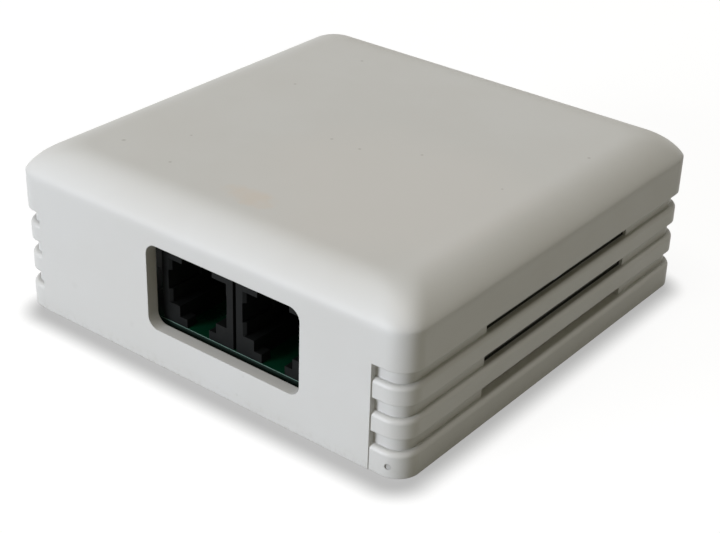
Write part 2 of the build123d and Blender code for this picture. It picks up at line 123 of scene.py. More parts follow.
class Finish:
    # A node tree being filled. add() takes a node's type, its settings, and its sockets' values or links.
    def __init__(self, tree):
        self.tree = tree
        tree.nodes.clear()

    def add(self, kind, settings=None, values=None, output=0):
        node = self.tree.nodes.new(kind)
        for name, value in (settings or {}).items():
            setattr(node, name, value)
        for name, value in (values or {}).items():
            if isinstance(value, Flow):
                self.tree.links.new(value.socket, node.inputs[name])
            else:
                node.inputs[name].default_value = value
        return Flow(self, node.outputs[output]) if node.outputs else None

    def place(self):  # where the point lies in its piece, in millimetres
        spot = self.add("ShaderNodeTexCoord", output="Object")
        return self.add("ShaderNodeVectorMath", {"operation": "SCALE"}, {0: spot, "Scale": 1 / mm})

    def split(self, vector):  # its x, y and z
        first = self.add("ShaderNodeSeparateXYZ", values={0: vector})
        return [Flow(self, socket) for socket in first.socket.node.outputs]

    def stretch(self, vector, x, y, z):
        return self.add("ShaderNodeVectorMath", {"operation": "MULTIPLY"}, {0: vector, 1: (x, y, z)})

    def distance(self, vector, spot):
        return self.add("ShaderNodeVectorMath", {"operation": "DISTANCE"}, {0: vector, 1: spot}, "Value")

    def noise(self, where, perMillimetre, detail=2.0, roughness=0.5):
        values = {"Vector": where, "Scale": perMillimetre, "Detail": detail, "Roughness": roughness}
        return self.add("ShaderNodeTexNoise", values=values)

    def fade(self, value, start, end):  # 0 before start, 1 after end, smooth between, either way round
        values = {"Value": value, "From Min": start, "From Max": end}
        return self.add("ShaderNodeMapRange", {"interpolation_type": "SMOOTHSTEP"}, values)

    def between(self, value, low, high, softLow, softHigh):  # 1 from low to high, fading outside them
        return self.fade(value, low - softLow, low) * self.fade(value, high + softHigh, high)

    def cloud(self, where, perMillimetre, start, end, detail=2.0, roughness=0.5):  # noise, from 0 to 1
        return self.fade(self.noise(where, perMillimetre, detail, roughness), start, end)

    def waver(self, where, middle, spread, perMillimetre, detail=2.0):  # strays about its middle
        return middle + (self.noise(where, perMillimetre, detail) - 0.5) * spread

    # A Mix node's colours are its sockets 6 and 7 and its output 2, and its vectors are 4, 5 and 1.
    def blend(self, share, first, second, mode="MIX"):
        settings = {"data_type": "RGBA", "blend_type": mode}
        return self.add("ShaderNodeMix", settings, {0: share, 6: opaque(first), 7: opaque(second)}, 2)

    def mixVectors(self, share, first, second):
        return self.add("ShaderNodeMix", {"data_type": "VECTOR"}, {0: share, 4: first, 5: second}, 1)

    def relief(self, height, depth, normal=None):  # height 0 to 1 stands for depth millimetres
        values = {"Height": height, "Distance": depth * mm, "Strength": 1.0}
        if normal:
            values["Normal"] = normal
        return self.add("ShaderNodeBump", values=values)

    def softEdges(self, radius):
        return self.add("ShaderNodeBevel", {"samples": 4}, {"Radius": radius * mm})

    def surface(self, **given):
        sockets = {
            "colour": "Base Color",
            "roughness": "Roughness",
            "metallic": "Metallic",
            "specular": "Specular IOR Level",
            "normal": "Normal",
            "glow": "Emission Color",
            "glowStrength": "Emission Strength",
        }
        values = {sockets[name]: value for name, value in given.items()}
        return self.add("ShaderNodeBsdfPrincipled", values=values)

    def show(self, shader):
        self.add("ShaderNodeOutputMaterial", values={"Surface": shader})


def newFinish(name):
    material = bpy.data.materials.new(name)
    material.use_nodes = True
    return material, Finish(material.node_tree)


# Camera, solved from the straight edges of the photograph
cameraSetup = {
    "place": (126.012, -163.320, 118.728),  # millimetres
    "yaw": 37.592,  # degrees
    "pitch": 29.122,
    "roll": 1.8765,
    "lens": 77.153,
    "sensor": 36.0,
    "nearest": 10.0,  # millimetres
}


def placeCamera(setup):
    optics = bpy.data.cameras.new("photoCamera")
    optics.sensor_fit = "HORIZONTAL"
    optics.sensor_width = setup["sensor"]
    optics.lens = setup["lens"]
    optics.clip_start = setup["nearest"] * mm
    camera = bpy.data.objects.new("photoCamera", optics)
    turn = Matrix.Rotation(math.radians(setup["yaw"]), 4, "Z")
    turn @= Matrix.Rotation(math.radians(90 - setup["pitch"]), 4, "X")
    turn @= Matrix.Rotation(math.radians(setup["roll"]), 4, "Z")
    camera.matrix_world = Matrix.Translation(Vector(setup["place"]) * mm) @ turn
    bpy.context.scene.collection.objects.link(camera)
    bpy.context.scene.camera = camera


placeCamera(cameraSetup)
print("camera placed")

# Light: a cool window-like lamp low at the front left, a nearly white one overhead and warm air all round.
# Distance and size are in metres. A lamp's level is how bright it makes a white surface that faces it.
lamps = {
    "windowLamp": {
        "towards": (-0.37, -0.91, 0.19), "distance": 1.50, "size": 0.70,
        "level": 0.84, "colour": (0.953, 1.0, 1.102),
    },
    "ceilingLamp": {
        "towards": (0.0, -0.17, 0.98), "distance": 1.20, "size": 0.90,
        "level": 0.45, "colour": (1.02, 1.0, 0.975),
    },
}
lampTarget = Vector((0.0, 0.0, 12.0)) * mm
air = {"colour": (0.138, 0.128, 0.084), "backdrop": (1.0, 1.0, 1.0)}
floorLook = {
    "bounce": (0.322, 0.312, 0.262),  # what the floor gives back to the case
    "paper": 0.20,  # what it shows of the lamps and shadows, over an even glow
    "glow": 0.88,
    "side": 12.0,  # metres
    "gap": 0.02,  # millimetres under the case
    "shade": 0.475,  # painted shadow round the case: how bright the glow is close to it, and where that shade starts and ends
    "shadeStart": 0.7,
    "shadeEnd": 5.4,
    "shadeInset": (4.4, -0.40, 0.75, 3.5),  # how far inside the case it starts: left, front, right, back
    "shadeCorner": 2.0,
}


def placeLamp(name, setup):
    light = bpy.data.lights.new(name, "AREA")
    light.shape = "DISK"
    light.size = setup["size"]
    light.color = setup["colour"]
    light.energy = setup["level"] * (math.pi * setup["distance"]) ** 2
    lamp = bpy.data.objects.new(name, light)
    towards = Vector(setup["towards"]).normalized()
    lamp.location = lampTarget + towards * setup["distance"]
    lamp.rotation_euler = towards.to_track_quat("Z", "Y").to_euler()
    bpy.context.scene.collection.objects.link(lamp)


def seenRays(finish):  # 1 where the camera, a reflection or a clear surface looks, 0 for light that bounces
    rays = finish.add("ShaderNodeLightPath").socket.node.outputs
    seen = [Flow(finish, rays[name]) for name in ("Is Camera Ray", "Is Glossy Ray", "Is Transmission Ray")]
    return seen[0].larger(seen[1]).larger(seen[2])


def fillAir(setup):
    world = bpy.data.worlds.new("studioAir")
    world.use_nodes = True
    finish = Finish(world.node_tree)
    lighting, backdrop = [
        finish.add("ShaderNodeBackground", values={"Color": opaque(setup[name]), "Strength": 1.0})
        for name in ("colour", "backdrop")
    ]
    shown = finish.add("ShaderNodeMixShader", values={0: seenRays(finish), 1: lighting, 2: backdrop})
    finish.add("ShaderNodeOutputWorld", values={"Surface": shown})
    bpy.context.scene.world = world


def awayFromCase(finish, setup):  # how far the floor is from the case's outline, in millimetres
    low, high = [corner / mm for corner in cadBox]
    left, front, right, back = setup["shadeInset"]
    corner = setup["shadeCorner"]
    x, y = finish.split(finish.place())[:2]
    beyond = []
    for value, start, end in ((x, low.x + left, high.x - right), (y, low.y + front, high.y - back)):
        beyond.append((abs(value - (start + end) / 2) - ((end - start) / 2 - corner)).larger(0.0))
    return (beyond[0] * beyond[0] + beyond[1] * beyond[1]) ** 0.5 - corner


def layFloor(setup):
    half = setup["side"] / 2
    mesh = bpy.data.meshes.new("paleFloor")
    corners = [(x * half, y * half, -setup["gap"] * mm) for x, y in ((-1, -1), (1, -1), (1, 1), (-1, 1))]
    mesh.from_pydata(corners, [], [(0, 1, 2, 3)])
    floor = bpy.data.objects.new("paleFloor", mesh)
    bpy.context.scene.collection.objects.link(floor)
    material, finish = newFinish("paleFloor")
    bounce = finish.add("ShaderNodeBsdfDiffuse", values={"Color": opaque(setup["bounce"])})
    # painted shadow: the glow and the paper darken close to the case's outline
    clear = finish.fade(awayFromCase(finish, setup), setup["shadeStart"], setup["shadeEnd"])
    bright = finish.blend(clear, grey(setup["shade"]), grey(1.0))
    paper = finish.blend(1.0, bright, grey(setup["paper"]), "MULTIPLY")
    glow = {"glow": bright, "glowStrength": setup["glow"]}
    shown = finish.surface(colour=paper, roughness=1.0, specular=0.0, **glow)
    finish.show(finish.add("ShaderNodeMixShader", values={0: seenRays(finish), 1: bounce, 2: shown}))
    mesh.materials.append(material)


for lampName, lampSetup in lamps.items():
    placeLamp(lampName, lampSetup)
fillAir(air)
layFloor(floorLook)
bpy.context.scene.view_settings.view_transform = "Standard"
print("light and floor placed")


# Finishes. A cloud is its waves per millimetre, where it starts and ends, and its detail and roughness.
# A surface's roughness is its middle, its spread, its waves per millimetre and its detail.
# Cover: satin off-white plastic with a fine spark-eroded grain, yellowed patches and a few dark specks.
coverLook = {
    "colour": (0.615, 0.610, 0.592),
    "paleColour": (0.628, 0.626, 0.612),
    "cloud": (0.055, 0.35, 0.68, 3.0, 0.55),
    "roughness": (0.46, 0.10, 0.25, 2.0),
    "grainPerMillimetre": 5.0,
    "grainDepth": 0.006,
    "edgeRadius": 0.20,
    "shoulderRadius": 2.0,  # softer where the rounded top meets the walls
    "shoulderDepth": (5.2, 4.5),  # how far under the top face that starts, and is full
    "topDepth": (0.5, 0.1),  # the same for the marks on the top face
    "frontDepth": (2.0, 1.5),  # and for the marks on the front face, behind it
    "patches": [  # yellowing on the top: a faint wide patch, and a stain near the front
        {
            "place": (14.0, -13.0), "reach": (27.0, 22.0), "ragged": 1.0, "start": 1.2, "share": 0.9,
            "colour": (0.643, 0.628, 0.606),
        },
        {
            "place": (0.9, -25.4), "reach": (4.4, 2.6), "ragged": 2.2, "start": 1.25, "share": 0.58,
            "colour": (0.658, 0.578, 0.500),
        },
    ],
    "patchWaves": 1.85,  # waves of a patch's ragged edge over its reach
    "patchDetail": 3.0,
    "specks": [  # x and y on the top, and radius
        (-24.9, -24.0, 0.46), (-14.8, -24.8, 0.34), (2.3, -3.6, 0.36), (-2.9, -3.6, 0.34),
        (10.2, 0.8, 0.32), (-18.7, 23.4, 0.36), (28.7, 16.1, 0.36), (25.0, -0.7, 0.26),
        (-20.4, 8.6, 0.34), (-18.9, -16.3, 0.28),
    ],
    "speckColour": (0.20, 0.18, 0.15),
    "speckShare": 0.34,
    "speckCore": 0.25,  # how much of a speck's radius is fully dark
    "rubs": [  # faint marks on the front: x and z, radius and share
        (8.5, 4.9, 0.30, 0.10), (7.3, 1.5, 0.34, 0.12), (-24.3, 6.6, 0.90, 0.05), (-12.7, 4.7, 0.80, 0.05),
    ],
    "footDustAndShade": {  # dust and painted shade along the foot of the walls, darker towards the bottom
        "colour": (0.36, 0.33, 0.27), "share": 0.16, "height": 2.2, "cloud": (0.9, 0.46, 0.66, 4.0, 0.7),
    },
    "slots": {  # painted shade in the two upper slots, near the wall's inner edge where the wall is thin
        "inwards": (1.52, 1.84, 0.10, 0.02),  # from and to, under the side faces, and how softly each ends
        "along": (-17.1, 19.1, 0.10, 0.10),
        "upwards": (8.2, 16.1, 0.20, 0.10),
        "shade": 0.06,
    },
    "mark": {  # the moulding's small round mark, low on the front corner, with painted shade inside its recess
        "inset": 2.65, "height": 1.65, "radius": 0.46, "softness": 0.12, "shade": 0.66,
    },
}
grainLook = {"detail": 3.0, "roughness": 0.6, "slowScale": 0.04, "slowDetail": 1.0, "slowShare": 0.2}


def plasticNormal(finish, where, look, edges):  # fine grain over a slow unevenness, and soft edges
    waves = look["grainPerMillimetre"]
    fine = finish.noise(where, waves, grainLook["detail"], grainLook["roughness"])
    slow = finish.noise(where, waves * grainLook["slowScale"], grainLook["slowDetail"])
    height = fine * (1 - grainLook["slowShare"]) + slow * grainLook["slowShare"]
    return finish.relief(height, look["grainDepth"], edges)


def ageTop(finish, where, colour, look):  # yellowed patches and dark specks on the top face
    x, y, z = finish.split(where)
    onTop = finish.fade(z, *[coverHigh.z - depth for depth in look["topDepth"]])
    for patch in look["patches"]:
        across = (x - patch["place"][0]) / patch["reach"][0]
        along = (y - patch["place"][1]) / patch["reach"][1]
        waves = look["patchWaves"] / patch["reach"][0]
        middle = across * across + along * along
        away = finish.waver(where, middle, patch["ragged"], waves, look["patchDetail"])
        yellowed = finish.fade(away, patch["start"], 0.0) * onTop * patch["share"]
        colour = finish.blend(yellowed, colour, patch["colour"])
    flat = finish.stretch(where, 1, 1, 0)
    specks = 0.0
    for speckX, speckY, radius in look["specks"]:
        fromSpeck = finish.distance(flat, (speckX, speckY, 0))
        specks = finish.fade(fromSpeck, radius, radius * look["speckCore"]) + specks
    return finish.blend(specks * onTop * look["speckShare"], colour, look["speckColour"])


def markFront(finish, where, colour, look):  # rubs, dust and painted shade along the foot, painted shade in the upper slots and inside the round mark
    x, y, z = finish.split(where)
    onFront = finish.fade(y, *[coverLow.y + depth for depth in look["frontDepth"]])
    upright = finish.stretch(where, 1, 0, 1)
    for rubX, rubZ, radius, share in look["rubs"]:
        rubbed = finish.fade(finish.distance(upright, (rubX, 0, rubZ)), radius, 0.0) * onFront * share
        colour = finish.blend(rubbed, colour, look["speckColour"])
    # dust and painted shade, darker towards the foot of the walls
    footDustAndShade = look["footDustAndShade"]
    dustyAndShaded = finish.fade(z, footDustAndShade["height"], 0.0) * finish.cloud(where, *footDustAndShade["cloud"])
    colour = finish.blend(dustyAndShaded * footDustAndShade["share"], colour, footDustAndShade["colour"])
    # painted shade on the upper slots' ledges, near the wall's inner edge
    slots = look["slots"]
    dark = finish.between(coverHigh.x - abs(x), *slots["inwards"])
    dark = dark * finish.between(y, *slots["along"]) * finish.between(z, *slots["upwards"])
    colour = finish.blend(dark, colour, grey(slots["shade"]), "MULTIPLY")
    # painted shade inside the round mark's recess
    mark = look["mark"]
    fromMark = finish.distance(upright, (coverHigh.x - mark["inset"], 0, mark["height"]))
    marked = finish.fade(fromMark, mark["radius"] + mark["softness"], mark["radius"] - mark["softness"])
    return finish.blend(marked * onFront, colour, grey(mark["shade"]), "MULTIPLY")


def coverPlastic(look):
    material, finish = newFinish("coverPlastic")
    where = finish.place()
    colour = finish.blend(finish.cloud(where, *look["cloud"]), look["colour"], look["paleColour"])
    colour = ageTop(finish, where, colour, look)
    colour = markFront(finish, where, colour, look)
    height = finish.split(where)[2]
    onShoulder = finish.fade(height, *[coverHigh.z - depth for depth in look["shoulderDepth"]])
    sharp, soft = finish.softEdges(look["edgeRadius"]), finish.softEdges(look["shoulderRadius"])
    normal = plasticNormal(finish, where, look, finish.mixVectors(onShoulder, sharp, soft))
    rough = finish.waver(where, *look["roughness"])
    finish.show(finish.surface(colour=colour, roughness=rough, normal=normal))
    return material


# Other moulded parts: the base, a little duller and yellower than the cover, and the dark parts inside
mouldedLooks = {
    "basePlastic": {
        "colour": (0.530, 0.520, 0.485), "paleColour": (0.560, 0.550, 0.520),
        "cloud": (0.08, 0.35, 0.65, 3.0), "roughness": (0.52, 0.12, 0.3, 2.0), "specular": 0.50,
        "grainPerMillimetre": 4.0, "grainDepth": 0.008, "edgeRadius": 0.18,
    },
    "jackPlastic": {
        "colour": (0.0050, 0.0056, 0.0056), "paleColour": (0.0075, 0.0082, 0.0080),
        "cloud": (0.4, 0.35, 0.7, 3.0), "roughness": (0.50, 0.16, 0.8, 3.0), "specular": 0.09,
        "grainPerMillimetre": 6.0, "grainDepth": 0.004, "edgeRadius": 0.09,
    },
    "carrierPlastic": {
        "colour": (0.0090, 0.0092, 0.0095), "paleColour": (0.0130, 0.0132, 0.0135),
        "cloud": (0.4, 0.35, 0.7, 3.0), "roughness": (0.52, 0.16, 0.8, 3.0), "specular": 0.20,
        "grainPerMillimetre": 5.0, "grainDepth": 0.006, "edgeRadius": 0.08,
    },
    "packageEpoxy": {
        "colour": (0.0190, 0.0190, 0.0205), "paleColour": (0.0290, 0.0285, 0.0290),
        "cloud": (0.4, 0.35, 0.7, 3.0), "roughness": (0.58, 0.16, 0.8, 3.0), "specular": 0.40,
        "grainPerMillimetre": 9.0, "grainDepth": 0.010, "edgeRadius": 0.10,
    },
}


def mouldedPlastic(name):
    look = mouldedLooks[name]
    material, finish = newFinish(name)
    where = finish.place()
    colour = finish.blend(finish.cloud(where, *look["cloud"]), look["colour"], look["paleColour"])
    normal = plasticNormal(finish, where, look, finish.softEdges(look["edgeRadius"]))
    rough = finish.waver(where, *look["roughness"])
    finish.show(finish.surface(colour=colour, roughness=rough, normal=normal, specular=look["specular"]))
    return material


# Circuit board: dark green lacquer over glass laminate, with a sawn edge and a painted highlight along its
# upper rim
boardLook = {
    "colour": (0.0015, 0.030, 0.014),
    "paleColour": (0.0025, 0.040, 0.019),
    "cloud": (0.12, 0.35, 0.65, 2.0),
    "sawnColour": (0.0012, 0.0050, 0.0032),
    "sawnPaleColour": (0.0015, 0.012, 0.007),
    "layers": (1.0, 0.3, 0.7, 3.0, 0.7),  # the laminate's layers on the sawn edge, as a cloud
    "layerStretch": (0.6, 0.6, 9.0),
    "rimHighlightColour": (0.120, 0.190, 0.160),  # painted highlight along the upper corner of the edge
    "rimWidth": 0.17,
    "weave": (2.0, 1.0),  # per millimetre, and detail
    "weaveDepth": 0.003,
    "threadStretch": 0.25,  # along a thread of the weave
    "roughness": (0.24, 0.08, 0.5, 2.0),
    "sawnRougher": 0.4,
    "specular": 0.20,
    "skin": 0.03,  # the lacquer's depth, seen on the edge
    "edgeRadius": 0.08,
}
copperLook = {  # the lacquer over the copper runs, which has no sawn edge
    **boardLook, "colour": (0.006, 0.072, 0.034), "paleColour": (0.008, 0.088, 0.042), "skin": 2.0,
}


def boardLacquer(name, look):
    material, finish = newFinish(name)
    where = finish.place()
    height = finish.split(where)[2]
    lacquer = finish.blend(finish.cloud(where, *look["cloud"]), look["colour"], look["paleColour"])
    layers = finish.cloud(finish.stretch(where, *look["layerStretch"]), *look["layers"])
    sawn = finish.blend(layers, look["sawnColour"], look["sawnPaleColour"])
    fromMiddle = abs(height - (boardLow.z + boardHigh.z) / 2)
    faceHeight = (boardHigh.z - boardLow.z) / 2
    onFace = finish.fade(fromMiddle, faceHeight - look["skin"], faceHeight - look["skin"] / 3)
    onEdge = 1 - onFace
    # painted highlight: a thin pale line along the top corner of the sawn edge
    paintedRimHighlight = finish.fade(height, boardTop - look["rimWidth"], boardTop - look["rimWidth"] / 2) * onEdge
    colour = finish.blend(paintedRimHighlight, finish.blend(onFace, sawn, lacquer), look["rimHighlightColour"])
    thread = look["threadStretch"]
    weave, cross = [
        finish.noise(finish.stretch(where, *stretch), *look["weave"])
        for stretch in ((1.0, thread, 1.0), (thread, 1.0, 1.0))
    ]
    normal = finish.relief(weave.larger(cross), look["weaveDepth"], finish.softEdges(look["edgeRadius"]))
    rough = finish.waver(where, *look["roughness"]) + onEdge * look["sawnRougher"]
    finish.show(finish.surface(colour=colour, roughness=rough, normal=normal, specular=look["specular"]))
    return material


# Bare metals: plated spring wire, zinc on the screws, tin on leads, caps and solder.
# "drawn" squeezes the fine lines of a metal along x, y and z.
metalLooks = {
    "contactGold": {
        "colour": (0.78, 0.55, 0.22), "dullColour": (0.62, 0.42, 0.17),
        "roughness": (0.216, 0.16, 1.6, 3.0), "drawn": (4.0, 0.3, 0.3),
        "grainDepth": 0.003, "edgeRadius": 0.05,
    },
    "screwZinc": {
        "colour": (0.60, 0.60, 0.57), "dullColour": (0.44, 0.44, 0.43),
        "roughness": (0.322, 0.22, 1.6, 3.0), "drawn": (1.0, 1.0, 1.0),
        "grainDepth": 0.008, "edgeRadius": 0.08,
    },
    "tinnedLeads": {
        "colour": (0.68, 0.68, 0.66), "dullColour": (0.52, 0.52, 0.51),
        "roughness": (0.320, 0.20, 1.6, 3.0), "drawn": (1.0, 1.0, 1.0),
        "grainDepth": 0.006, "edgeRadius": 0.04,
    },
}
tarnish = (0.9, 0.35, 0.7, 4.0, 0.65)  # a cloud of the dull colour
drawnLines = (5.0, 3.0, 0.6)  # per millimetre, detail and roughness


def bareMetal(name):
    look = metalLooks[name]
    material, finish = newFinish(name)
    where = finish.place()
    colour = finish.blend(finish.cloud(where, *tarnish), look["colour"], look["dullColour"])
    lines = finish.noise(finish.stretch(where, *look["drawn"]), *drawnLines)
    normal = finish.relief(lines, look["grainDepth"], finish.softEdges(look["edgeRadius"]))
    rough = finish.waver(where, *look["roughness"])
    finish.show(finish.surface(colour=colour, roughness=rough, metallic=1.0, normal=normal))
    return material


# Capacitors: fired ceramic, speckled by its grains
capacitorLook = {
    "colour": (0.36, 0.235, 0.135), "paleColour": (0.45, 0.315, 0.200),
    "grains": (4.0, 4.0, 0.7),  # per millimetre, detail and roughness
    "paleGrains": (0.3, 0.7), "roughness": 0.42, "roughSpread": 0.2,
    "grainDepth": 0.004, "edgeRadius": 0.06,
}


def capacitorCeramic(look):
    material, finish = newFinish("capacitorCeramic")
    grains = finish.noise(finish.place(), *look["grains"])
    colour = finish.blend(finish.fade(grains, *look["paleGrains"]), look["colour"], look["paleColour"])
    normal = finish.relief(grains, look["grainDepth"], finish.softEdges(look["edgeRadius"]))
    rough = look["roughness"] + (grains - 0.5) * look["roughSpread"]
    finish.show(finish.surface(colour=colour, roughness=rough, normal=normal))
    return material


# Resistors: pale alumina with a black glaze on top
resistorLook = {
    "aluminaColour": (0.66, 0.655, 0.63), "glazeColour": (0.020, 0.020, 0.023),
    "glazeDepth": (0.09, 0.05),  # how far under the top the glaze starts, and is full
    "glazeRagged": 0.06, "roughness": 0.42, "glazeRoughness": 0.20,
    "grainPerMillimetre": 3.0, "grainDepth": 0.004, "edgeRadius": 0.06,
}


def resistorGlaze(look):
    material, finish = newFinish("resistorGlaze")
    where = finish.place()
    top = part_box("resistors")[1].z / mm
    height = finish.waver(where, finish.split(where)[2], look["glazeRagged"], look["grainPerMillimetre"])
    glazed = finish.fade(height, *[top - depth for depth in look["glazeDepth"]])
    colour = finish.blend(glazed, look["aluminaColour"], look["glazeColour"])
    grain = finish.noise(where, look["grainPerMillimetre"])
    normal = finish.relief(grain, look["grainDepth"], finish.softEdges(look["edgeRadius"]))
    rough = look["roughness"] + glazed * (look["glazeRoughness"] - look["roughness"])
    finish.show(finish.surface(colour=colour, roughness=rough, normal=normal))
    return material


# Printed outlines on the board: off-white ink, thin in places
inkLook = {
    "colour": (0.66, 0.67, 0.62), "thinColour": (0.30, 0.40, 0.31), "cloud": (3.5, 0.52, 0.75, 4.0, 0.7),
    "roughness": 0.55, "thinSmoother": 0.1, "grainPerMillimetre": 7.0, "grainDepth": 0.004,
}


def markingInk(look):
    material, finish = newFinish("markingInk")
    where = finish.place()
    thin = finish.cloud(where, *look["cloud"])
    colour = finish.blend(thin, look["colour"], look["thinColour"])
    normal = finish.relief(finish.noise(where, look["grainPerMillimetre"]), look["grainDepth"])
    rough = look["roughness"] - thin * look["thinSmoother"]
    finish.show(finish.surface(colour=colour, roughness=rough, normal=normal))
    return material


finishes = {
    "cover_plastic": coverPlastic(coverLook),
    "base_plastic": mouldedPlastic("basePlastic"),
    "board_laminate": boardLacquer("boardLacquer", boardLook),
    "screw_steel": bareMetal("screwZinc"),
    "jack_plastic": mouldedPlastic("jackPlastic"),
    "carrier_plastic": mouldedPlastic("carrierPlastic"),
    "contact_metal": bareMetal("contactGold"),
    "package_plastic": mouldedPlastic("packageEpoxy"),
    "tinned_metal": bareMetal("tinnedLeads"),
    "capacitor_ceramic": capacitorCeramic(capacitorLook),
    "resistor_film": resistorGlaze(resistorLook),
}
for part in frame["record"]["subparts"]:
    materials = nodes[part["node"]].data.materials
    materials.clear()
    materials.append(finishes[part["material_slot"]])


# Small details on the board, all carried by the base. Their shapes are drawn in millimetres.
weld = 0.001  # vertices of a solid that lie closer than this are one
sameColumn = 0.05  # solids whose left sides differ by less than this stand in one column
shortestRun = 0.05  # a shorter one is left out
mitreLimit = 0.3  # the smallest cosine that a strip's corner is divided by
proud = 0.1  # how far a cutter stands out of what it cuts


def newObject(name, shape):
    bmesh.ops.recalc_face_normals(shape, faces=shape.faces)
    bmesh.ops.scale(shape, vec=(mm, mm, mm), verts=shape.verts)
    mesh = bpy.data.meshes.new(name)
    shape.to_mesh(mesh)
    shape.free()
    made = bpy.data.objects.new(name, mesh)
    bpy.context.scene.collection.objects.link(made)
    return made


def newPiece(name, shape, material):
    piece = newObject(name, shape)
    piece.data.materials.append(material)
    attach(piece, "base_unit")
    return piece


def cutAway(piece, shape):  # takes the shape out of the piece, for good
    cutter = newObject("cutter", shape)
    trim = piece.modifiers.new("trim", "BOOLEAN")
    trim.operation = "DIFFERENCE"
    trim.solver = "EXACT"
    trim.object = cutter
    evaluated = piece.evaluated_get(bpy.context.evaluated_depsgraph_get())
    mesh = bpy.data.meshes.new_from_object(evaluated)
    piece.modifiers.clear()
    piece.data = mesh
    bpy.data.objects.remove(cutter)


def solidBoxes(node):  # lowest and highest corner of each solid, left to right, then front to back
    shape = bmesh.new()
    shape.from_mesh(nodes[node].data)
    bmesh.ops.remove_doubles(shape, verts=shape.verts, dist=weld * mm)
    found = []
    waiting = set(shape.verts)
    while waiting:
        queue = [waiting.pop()]
        spots = []
        while queue:
            vert = queue.pop()
            spots.append(vert.co / mm)
            for edge in vert.link_edges:
                other = edge.other_vert(vert)
                if other in waiting:
                    waiting.remove(other)
                    queue.append(other)
        found.append([Vector([end(values) for values in zip(*spots)]) for end in (min, max)])
    shape.free()
    found.sort(key=lambda box: box[0].x)
    columns = []
    for box in found:
        if not columns or box[0].x - columns[-1][-1][0].x > sameColumn:
            columns.append([])
        columns[-1].append(box)
    return [box for column in columns for box in sorted(column, key=lambda box: box[0].y)]


def middleOf(box):
    return (box[0] + box[1]) / 2


def grown(box, left, right, along):  # a box's outline, moved outwards to the left and right, and along y
    low, high = box
    return Vector((low.x - left, low.y - along)), Vector((high.x + right, high.y + along))


def pointRound(centre, radius, angle, height):
    return (centre[0] + radius * math.cos(angle), centre[1] + radius * math.sin(angle), height)


def roundedOutline(low, high, radius, height, steps=3):  # anticlockwise, at that height
    points = []
    corners = (
        (high.x, low.y, -1, 1), (high.x, high.y, -1, -1), (low.x, high.y, 1, -1), (low.x, low.y, 1, 1),
    )
    for number, (x, y, towardsX, towardsY) in enumerate(corners):
        centre = (x + towardsX * radius, y + towardsY * radius)
        for step in range(steps + 1):
            points.append(pointRound(centre, radius, math.pi / 2 * (number - 1 + step / steps), height))
    return points


def circleOutline(centre, radius, height, steps=24):
    return [pointRound(centre, radius, 2 * math.pi * step / steps, height) for step in range(steps)]


def stripOutline(points, width, height):  # outline of a line of that width along the points
    points = [Vector(point).to_2d() for point in points]
    right, left = [], []
    for index, point in enumerate(points):
        before = (point - points[index - 1]).normalized() if index else None
        after = (points[index + 1] - point).normalized() if index + 1 < len(points) else None
        along = ((before or after) + (after or before)).normalized()
        reach = width / 2 / max(mitreLimit, along.dot(before or after))
        across = Vector((along.y, -along.x)) * reach
        right.append((*(point + across), height))
        left.append((*(point - across), height))
    return right + left[::-1]


def addSkin(shape, rings, ringShaped=False):  # joins outlines of equal count, then caps or closes the skin
    loops = [[shape.verts.new(point) for point in ring] for ring in rings]
    pairs = list(zip(loops, loops[1:]))
    if ringShaped:
        pairs.append((loops[-1], loops[0]))
    else:
        shape.faces.new(loops[0][::-1])
        shape.faces.new(loops[-1])
    for lower, upper in pairs:
        for index in range(len(lower)):
            after = (index + 1) % len(lower)
            shape.faces.new((lower[index], lower[after], upper[after], upper[index]))


def addStrip(shape, points, width, low, high):
    addSkin(shape, [stripOutline(points, width, height) for height in (low, high)])


def addRing(shape, centre, outer, inner, height):  # a flat ring on the board
    corners = ((outer, boardTop), (outer, boardTop + height), (inner, boardTop + height), (inner, boardTop))
    addSkin(shape, [circleOutline(centre, radius, level) for radius, level in corners], ringShaped=True)


def dogleg(start, end):  # straight, a run at 45 degrees, and straight again
    across, along = end - start
    straight = (abs(across) - abs(along)) / 2
    if straight > 0:
        step = Vector((math.copysign(straight, across), 0))
    else:
        step = Vector((0, math.copysign(-straight, along)))
    points = [start, start + step, end - step, end]
    pairs = zip(points, points[1:])
    return [start] + [point for before, point in pairs if (point - before).length > shortestRun]


boxes = {node: solidBoxes(node) for node in nodes if node not in ("cover", "base", "circuit_board")}
jacks = [boxes[hand + "_jack_housing"][0] for hand in ("left", "right")]

# Solder: fillets round the parts' feet, cones round the wires, and rings under the screws
solderLook = {
    "padHeight": 0.035,
    "endGrow": (0.42, 0.03, 0.08),  # beyond an end cap: outwards, inwards and along y
    "endRise": 0.55,  # how far the solder climbs, as a share of the end cap's height
    "footLength": 0.75,
    "footGrow": (0.30, 0.10),  # beyond a foot: at its ends and along y
    "footRise": 0.24,
    "waist": (0.55, 0.35),  # halfway up a fillet: how far in, and how high, as shares
    "corner": 0.08,
    "cone": ((0.78, 0.0), (0.78, 0.035), (0.55, 0.12), (0.38, 0.36), (0.31, 0.62)),  # radius and height
    "screwRing": (0.45, 0.6),  # how far it reaches beyond the screw's head, and under it
    "jackInset": 1.0,  # where the jacks' wires meet the board, in front of the jacks' rear
    "via": (0.34, 0.15, 0.033),  # outer and inner radius, and height
}


def footOf(lead, part, length):  # the outer end of a lead that is bent along the board
    low, high = grown(lead, 0, 0, 0)
    if middleOf(lead).x > middleOf(part).x:
        low.x = high.x - length
    else:
        high.x = low.x + length
    return low, high


